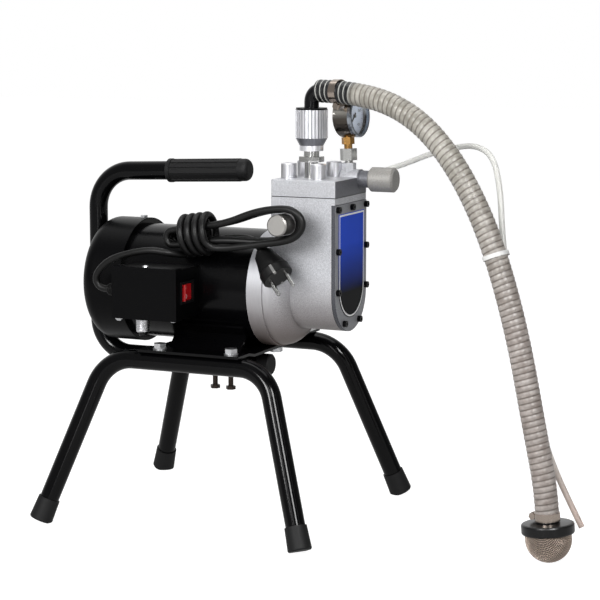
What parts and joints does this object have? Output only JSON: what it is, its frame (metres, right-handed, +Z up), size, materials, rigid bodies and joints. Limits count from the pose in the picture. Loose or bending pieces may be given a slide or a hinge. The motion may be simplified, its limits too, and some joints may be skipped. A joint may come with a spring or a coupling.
{
  "type": "airless paint sprayer",
  "caption": "Airless paint sprayer: electric motor and diaphragm pump on a bent tube stand, with carrying handle, gauge, suction hose, strainer and mains cord.",
  "frame": {"origin": "middle of the bounding box of everything but the hoses and the mains cord, at the floor", "axes": "+X towards the pump end, +Z up, -Y towards the switch box"},
  "size_m": [0.6299, 0.324, 0.5072],
  "materials": {
    "black_paint": "gloss powder coat",
    "black_rubber": "matte",
    "zinc_steel": "satin",
    "cast_silver": "sandblasted",
    "machined_steel": "machined",
    "core_steel": "satin",
    "winding_copper": "enamelled",
    "fan_plastic": "matte",
    "black_screws": "black oxide",
    "plate_blue": "gloss",
    "brass": "satin",
    "chrome": "polished",
    "dial_white": "gloss",
    "needle_black": "matte",
    "clear_lens": "polished",
    "clear_hose": "gloss",
    "tie_white": "matte",
    "switch_red": "gloss",
    "black_plastic": "matte",
    "warm_aluminium": "sandblasted",
    "cord_black": "matte"
  },
  "bodies": {
    "machine": {"near_leg_tube": "black_paint", "far_leg_tube": "black_paint", "rubber_caps": "black_rubber", "handle_tube": "black_paint", "handle_grip": "black_rubber", "handle_clamp": "black_paint", "motor_cradle": "black_paint", "stand_bolts": "zinc_steel", "motor_shell": "black_paint", "stator_core": "core_steel", "stator_windings": "winding_copper", "rear_end_shield": "cast_silver", "motor_bearings": "machined_steel", "fan_cowl": "black_paint", "case_screws": "zinc_steel", "pump_housing": "cast_silver", "pump_seals": "black_rubber", "piston_sleeve": "machined_steel", "front_cover": "cast_silver", "cover_screws": "black_screws", "cover_plate": "plate_blue", "head_block": "cast_silver", "head_bolts": "machined_steel", "suction_fitting": "machined_steel", "outlet_fittings": "machined_steel", "suction_elbow": "black_plastic", "suction_hose": "clear_hose", "hose_clamps": "zinc_steel", "strainer_body": "zinc_steel", "strainer_mesh": "zinc_steel", "gauge_adaptor": "machined_steel", "gauge_socket": "brass", "gauge_case": "black_paint", "gauge_dial": "dial_white", "gauge_lens": "clear_lens", "return_hose": "clear_hose", "cable_tie": "tie_white", "switch_box": "black_paint", "rocker_frame": "black_plastic", "run_capacitor": "black_plastic", "reset_neck": "chrome", "cord_gland": "black_plastic", "mains_cord": "cord_black", "plug_body": "cord_black", "plug_pins": "machined_steel"},
    "rotor": {"motor_shaft": "machined_steel", "rotor_core": "core_steel", "cooling_fan": "fan_plastic", "crank_eccentric": "machined_steel"},
    "piston": {"pump_piston": "machined_steel", "piston_spring": "zinc_steel"},
    "suction_nut": {"union_nut": "machined_steel"},
    "needle": {"gauge_needle": "needle_black"},
    "prime_valve": {"prime_valve_knob": "warm_aluminium"},
    "pressure_control": {"pressure_knob": "warm_aluminium"},
    "power_switch": {"rocker": "switch_red"},
    "reset": {"reset_button": "black_plastic"},
    "inlet_valve": {"inlet_poppet": "machined_steel", "inlet_spring": "zinc_steel"},
    "outlet_valve": {"outlet_ball": "machined_steel"}
  },
  "joints": [
    {"name": "motor_turn", "type": "hinge", "parent": "machine", "child": "rotor", "pos_m": [-0.01215, 0, 0.2675], "axis": [1, 0, 0], "continuous": true},
    {"name": "piston_stroke", "type": "slide", "parent": "machine", "child": "piston", "axis": [0, 0, 1], "range_m": [0, 0.004], "stiffness_N_per_m": 2000, "springref_m": -0.003, "deforming": ["piston_spring"]},
    {"name": "union_nut_turn", "type": "hinge", "parent": "machine", "child": "suction_nut", "pos_m": [0.09865, 0, 0.45], "axis": [0, 0, 1], "continuous": true},
    {"name": "needle_turn", "type": "hinge", "parent": "machine", "child": "needle", "pos_m": [0.13066, 0.027, 0.46424], "axis": [-0.9951, 0.0872, -0.0469], "range_deg": [0, 270], "stiffness_Nm_per_rad": 0.001},
    {"name": "prime_valve_turn", "type": "hinge", "parent": "machine", "child": "prime_valve", "pos_m": [0.16785, 0.027, 0.3935], "axis": [1, 0, 0], "range_deg": [0, 90]},
    {"name": "pressure_control_turn", "type": "hinge", "parent": "machine", "child": "pressure_control", "pos_m": [0.09485, -0.06, 0.3485], "axis": [0, -1, 0], "range_deg": [0, 300]},
    {"name": "power_switch_rock", "type": "hinge", "parent": "machine", "child": "power_switch", "pos_m": [-0.02015, -0.092, 0.2695], "axis": [0, 0, -1], "range_deg": [0, 24]},
    {"name": "reset_press", "type": "slide", "parent": "machine", "child": "reset", "axis": [0, 0, 1], "range_m": [0, 0.003], "stiffness_N_per_m": 400, "springref_m": -0.001},
    {"name": "inlet_valve_open", "type": "slide", "parent": "machine", "child": "inlet_valve", "axis": [0, 0, -1], "range_m": [0, 0.0015], "stiffness_N_per_m": 300, "springref_m": -0.001, "deforming": ["inlet_spring"]},
    {"name": "outlet_valve_open", "type": "slide", "parent": "machine", "child": "outlet_valve", "axis": [0, 1, 0], "range_m": [0, 0.0012], "stiffness_N_per_m": 300, "springref_m": -0.001}
  ]
}
